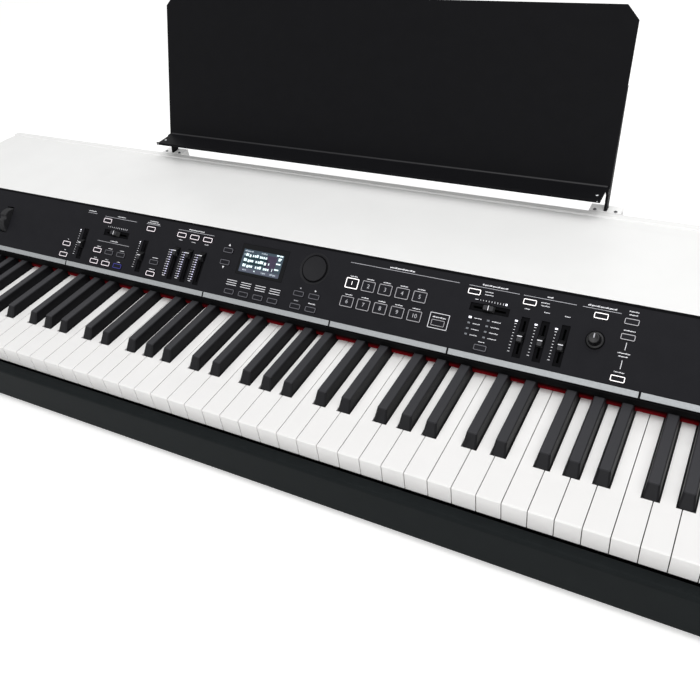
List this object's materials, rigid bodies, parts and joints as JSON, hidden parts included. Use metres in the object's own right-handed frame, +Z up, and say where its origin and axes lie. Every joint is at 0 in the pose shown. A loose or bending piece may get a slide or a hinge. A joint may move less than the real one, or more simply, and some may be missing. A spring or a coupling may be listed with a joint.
{
  "type": "stage piano",
  "caption": "Full-size weighted stage piano with a sloped control panel, flat top cover and a lift-out music rest.",
  "frame": {"origin": "on the floor plane of the feet, below the middle of the overall width and depth with the music rest in place", "axes": "+X along the keyboard to the player's right, +Y from the player to the rear, +Z up"},
  "size_m": [1.287, 0.4754, 0.3624],
  "materials": {
    "white_cover": "satin",
    "case_black": "satin",
    "panel_black": "satin",
    "rail_black": "satin",
    "tray_black": "satin",
    "control_black": "satin",
    "key_white": "gloss",
    "key_black": "matte",
    "felt_red": "felt",
    "felt_green": "felt",
    "trim_silver": "satin",
    "sheet_steel": "plain",
    "board_green": "matte",
    "rubber": "matte",
    "display_black": "gloss",
    "socket_black": "matte",
    "rest_black": "satin"
  },
  "bodies": {
    "case": {"bottom_tray": "tray_black", "front_rail": "rail_black", "left_cheek": "case_black", "right_cheek": "case_black", "top_cover": "white_cover", "rear_panel": "rail_black", "control_panel": "panel_black", "fallboard": "tray_black", "trim_strip": "trim_silver", "key_felt": "felt_red", "key_frame": "sheet_steel", "key_stop_felt": "felt_green", "panel_board": "board_green", "main_board": "board_green", "power_supply": "sheet_steel", "display_window": "display_black", "socket_board": "socket_black", "mains_inlet": "socket_black", "foot_front_left": "rubber", "foot_front_right": "rubber", "foot_back_left": "rubber", "foot_back_right": "rubber", "rest_bracket_left": "white_cover", "rest_bracket_right": "white_cover"},
    "keys_1_c_e_g_b": {"keys_1_c_e_g_b": "key_white"},
    "keys_1_d_f_a": {"keys_1_d_f_a": "key_white"},
    "keys_1_sharps": {"keys_1_sharps": "key_black"},
    "keys_2_c_e_g_b": {"keys_2_c_e_g_b": "key_white"},
    "keys_2_d_f_a": {"keys_2_d_f_a": "key_white"},
    "keys_2_sharps": {"keys_2_sharps": "key_black"},
    "keys_3_c_e_g_b": {"keys_3_c_e_g_b": "key_white"},
    "keys_3_d_f_a": {"keys_3_d_f_a": "key_white"},
    "keys_3_sharps": {"keys_3_sharps": "key_black"},
    "keys_4_c_e_g_b": {"keys_4_c_e_g_b": "key_white"},
    "keys_4_d_f_a": {"keys_4_d_f_a": "key_white"},
    "keys_4_sharps": {"keys_4_sharps": "key_black"},
    "slider_volume": {"slider_volume": "control_black"},
    "slider_touch": {"slider_touch": "control_black"},
    "slider_eq_low": {"slider_eq_low": "control_black"},
    "slider_eq_mid": {"slider_eq_mid": "control_black"},
    "slider_eq_high": {"slider_eq_high": "control_black"},
    "slider_part_1": {"slider_part_1": "control_black"},
    "slider_part_2": {"slider_part_2": "control_black"},
    "slider_part_3": {"slider_part_3": "control_black"},
    "slider_dynamics": {"slider_dynamics": "control_black"},
    "slider_reverb": {"slider_reverb": "control_black"},
    "switch_buttons": {"switch_buttons": "control_black"},
    "dynamics_buttons": {"dynamics_buttons": "control_black"},
    "touch_buttons": {"touch_buttons": "control_black"},
    "part_buttons": {"part_buttons": "control_black"},
    "display_buttons": {"display_buttons": "control_black"},
    "cursor_buttons": {"cursor_buttons": "control_black"},
    "sound_buttons": {"sound_buttons": "control_black"},
    "effect_buttons": {"effect_buttons": "control_black"},
    "system_buttons": {"system_buttons": "control_black"},
    "value_dial": {"value_dial": "panel_black"},
    "tone_knob": {"tone_knob": "control_black"},
    "pitch_wheel": {"pitch_wheel": "control_black"},
    "power_switch": {"power_switch": "socket_black"},
    "music_rest": {"music_rest": "rest_black"}
  },
  "joints": [
    {"name": "keys_1_c_e_g_b_press", "type": "hinge", "parent": "case", "child": "keys_1_c_e_g_b", "pos_m": [0, 0.00231, 0.0603], "axis": [1, 0, 0], "range_deg": [0, 2.54], "stiffness_Nm_per_rad": 7.2, "springref_deg": -14.32},
    {"name": "keys_1_d_f_a_press", "type": "hinge", "parent": "case", "child": "keys_1_d_f_a", "pos_m": [0, 0.00231, 0.0603], "axis": [1, 0, 0], "range_deg": [0, 2.54], "stiffness_Nm_per_rad": 5.6, "springref_deg": -14.32},
    {"name": "keys_1_sharps_press", "type": "hinge", "parent": "case", "child": "keys_1_sharps", "pos_m": [0, 0.00231, 0.0603], "axis": [1, 0, 0], "range_deg": [0, 2.54], "stiffness_Nm_per_rad": 8.8, "springref_deg": -14.32},
    {"name": "keys_2_c_e_g_b_press", "type": "hinge", "parent": "case", "child": "keys_2_c_e_g_b", "pos_m": [0, 0.00231, 0.0603], "axis": [1, 0, 0], "range_deg": [0, 2.54], "stiffness_Nm_per_rad": 6.4, "springref_deg": -14.32},
    {"name": "keys_2_d_f_a_press", "type": "hinge", "parent": "case", "child": "keys_2_d_f_a", "pos_m": [0, 0.00231, 0.0603], "axis": [1, 0, 0], "range_deg": [0, 2.54], "stiffness_Nm_per_rad": 4.8, "springref_deg": -14.32},
    {"name": "keys_2_sharps_press", "type": "hinge", "parent": "case", "child": "keys_2_sharps", "pos_m": [0, 0.00231, 0.0603], "axis": [1, 0, 0], "range_deg": [0, 2.54], "stiffness_Nm_per_rad": 8, "springref_deg": -14.32},
    {"name": "keys_3_c_e_g_b_press", "type": "hinge", "parent": "case", "child": "keys_3_c_e_g_b", "pos_m": [0, 0.00231, 0.0603], "axis": [1, 0, 0], "range_deg": [0, 2.54], "stiffness_Nm_per_rad": 6.4, "springref_deg": -14.32},
    {"name": "keys_3_d_f_a_press", "type": "hinge", "parent": "case", "child": "keys_3_d_f_a", "pos_m": [0, 0.00231, 0.0603], "axis": [1, 0, 0], "range_deg": [0, 2.54], "stiffness_Nm_per_rad": 4.8, "springref_deg": -14.32},
    {"name": "keys_3_sharps_press", "type": "hinge", "parent": "case", "child": "keys_3_sharps", "pos_m": [0, 0.00231, 0.0603], "axis": [1, 0, 0], "range_deg": [0, 2.54], "stiffness_Nm_per_rad": 8, "springref_deg": -14.32},
    {"name": "keys_4_c_e_g_b_press", "type": "hinge", "parent": "case", "child": "keys_4_c_e_g_b", "pos_m": [0, 0.00231, 0.0603], "axis": [1, 0, 0], "range_deg": [0, 2.54], "stiffness_Nm_per_rad": 4, "springref_deg": -14.32},
    {"name": "keys_4_d_f_a_press", "type": "hinge", "parent": "case", "child": "keys_4_d_f_a", "pos_m": [0, 0.00231, 0.0603], "axis": [1, 0, 0], "range_deg": [0, 2.54], "stiffness_Nm_per_rad": 2.4, "springref_deg": -14.32},
    {"name": "keys_4_sharps_press", "type": "hinge", "parent": "case", "child": "keys_4_sharps", "pos_m": [0, 0.00231, 0.0603], "axis": [1, 0, 0], "range_deg": [0, 2.54], "stiffness_Nm_per_rad": 4, "springref_deg": -14.32},
    {"name": "slider_volume_slide", "type": "slide", "parent": "case", "child": "slider_volume", "axis": [0, 0.7547, 0.6561], "range_m": [-0.015, 0.015]},
    {"name": "slider_touch_slide", "type": "slide", "parent": "case", "child": "slider_touch", "axis": [0, 0.7547, 0.6561], "range_m": [-0.015, 0.015]},
    {"name": "slider_eq_low_slide", "type": "slide", "parent": "case", "child": "slider_eq_low", "axis": [0, 0.7547, 0.6561], "range_m": [-0.015, 0.015]},
    {"name": "slider_eq_mid_slide", "type": "slide", "parent": "case", "child": "slider_eq_mid", "axis": [0, 0.7547, 0.6561], "range_m": [-0.015, 0.015]},
    {"name": "slider_eq_high_slide", "type": "slide", "parent": "case", "child": "slider_eq_high", "axis": [0, 0.7547, 0.6561], "range_m": [-0.015, 0.015]},
    {"name": "slider_part_1_slide", "type": "slide", "parent": "case", "child": "slider_part_1", "axis": [0, 0.7547, 0.6561], "range_m": [-0.03, 0]},
    {"name": "slider_part_2_slide", "type": "slide", "parent": "case", "child": "slider_part_2", "axis": [0, 0.7547, 0.6561], "range_m": [-0.03, 0]},
    {"name": "slider_part_3_slide", "type": "slide", "parent": "case", "child": "slider_part_3", "axis": [0, 0.7547, 0.6561], "range_m": [-0.03, 0]},
    {"name": "slider_dynamics_slide", "type": "slide", "parent": "case", "child": "slider_dynamics", "axis": [1, 0, 0], "range_m": [-0.015, 0.015]},
    {"name": "slider_reverb_slide", "type": "slide", "parent": "case", "child": "slider_reverb", "axis": [1, 0, 0], "range_m": [-0.015, 0.015]},
    {"name": "switch_buttons_press", "type": "slide", "parent": "case", "child": "switch_buttons", "axis": [0, 0.6561, -0.7547], "range_m": [0, 0.001], "stiffness_N_per_m": 400, "springref_m": -0.003},
    {"name": "dynamics_buttons_press", "type": "slide", "parent": "case", "child": "dynamics_buttons", "axis": [0, 0.6561, -0.7547], "range_m": [0, 0.001], "stiffness_N_per_m": 400, "springref_m": -0.003},
    {"name": "touch_buttons_press", "type": "slide", "parent": "case", "child": "touch_buttons", "axis": [0, 0.6561, -0.7547], "range_m": [0, 0.001], "stiffness_N_per_m": 400, "springref_m": -0.003},
    {"name": "part_buttons_press", "type": "slide", "parent": "case", "child": "part_buttons", "axis": [0, 0.6561, -0.7547], "range_m": [0, 0.001], "stiffness_N_per_m": 400, "springref_m": -0.003},
    {"name": "display_buttons_press", "type": "slide", "parent": "case", "child": "display_buttons", "axis": [0, 0.6561, -0.7547], "range_m": [0, 0.001], "stiffness_N_per_m": 400, "springref_m": -0.003},
    {"name": "cursor_buttons_press", "type": "slide", "parent": "case", "child": "cursor_buttons", "axis": [0, 0.6561, -0.7547], "range_m": [0, 0.001], "stiffness_N_per_m": 400, "springref_m": -0.003},
    {"name": "sound_buttons_press", "type": "slide", "parent": "case", "child": "sound_buttons", "axis": [0, 0.6561, -0.7547], "range_m": [0, 0.001], "stiffness_N_per_m": 400, "springref_m": -0.003},
    {"name": "effect_buttons_press", "type": "slide", "parent": "case", "child": "effect_buttons", "axis": [0, 0.6561, -0.7547], "range_m": [0, 0.001], "stiffness_N_per_m": 400, "springref_m": -0.003},
    {"name": "system_buttons_press", "type": "slide", "parent": "case", "child": "system_buttons", "axis": [0, 0.6561, -0.7547], "range_m": [0, 0.001], "stiffness_N_per_m": 400, "springref_m": -0.003},
    {"name": "value_dial_turn", "type": "hinge", "parent": "case", "child": "value_dial", "pos_m": [0.0366, -0.02643, 0.14049], "axis": [0, -0.6561, 0.7547], "continuous": true},
    {"name": "tone_knob_turn", "type": "hinge", "parent": "case", "child": "tone_knob", "pos_m": [0.3594, -0.03798, 0.13045], "axis": [0, -0.6561, 0.7547], "range_deg": [-140, 140]},
    {"name": "pitch_wheel_turn", "type": "hinge", "parent": "case", "child": "pitch_wheel", "pos_m": [-0.47, -0.03323, 0.12331], "axis": [1, 0, 0], "range_deg": [-30, 30], "stiffness_Nm_per_rad": 0.05},
    {"name": "power_switch_rock", "type": "hinge", "parent": "case", "child": "power_switch", "pos_m": [0.48, 0.16051, 0.0863], "axis": [1, 0, 0], "range_deg": [-4.5, 4.5]},
    {"name": "music_rest_lift", "type": "slide", "parent": "case", "child": "music_rest", "axis": [0, 0, 1], "range_m": [0, 0.046]}
  ]
}
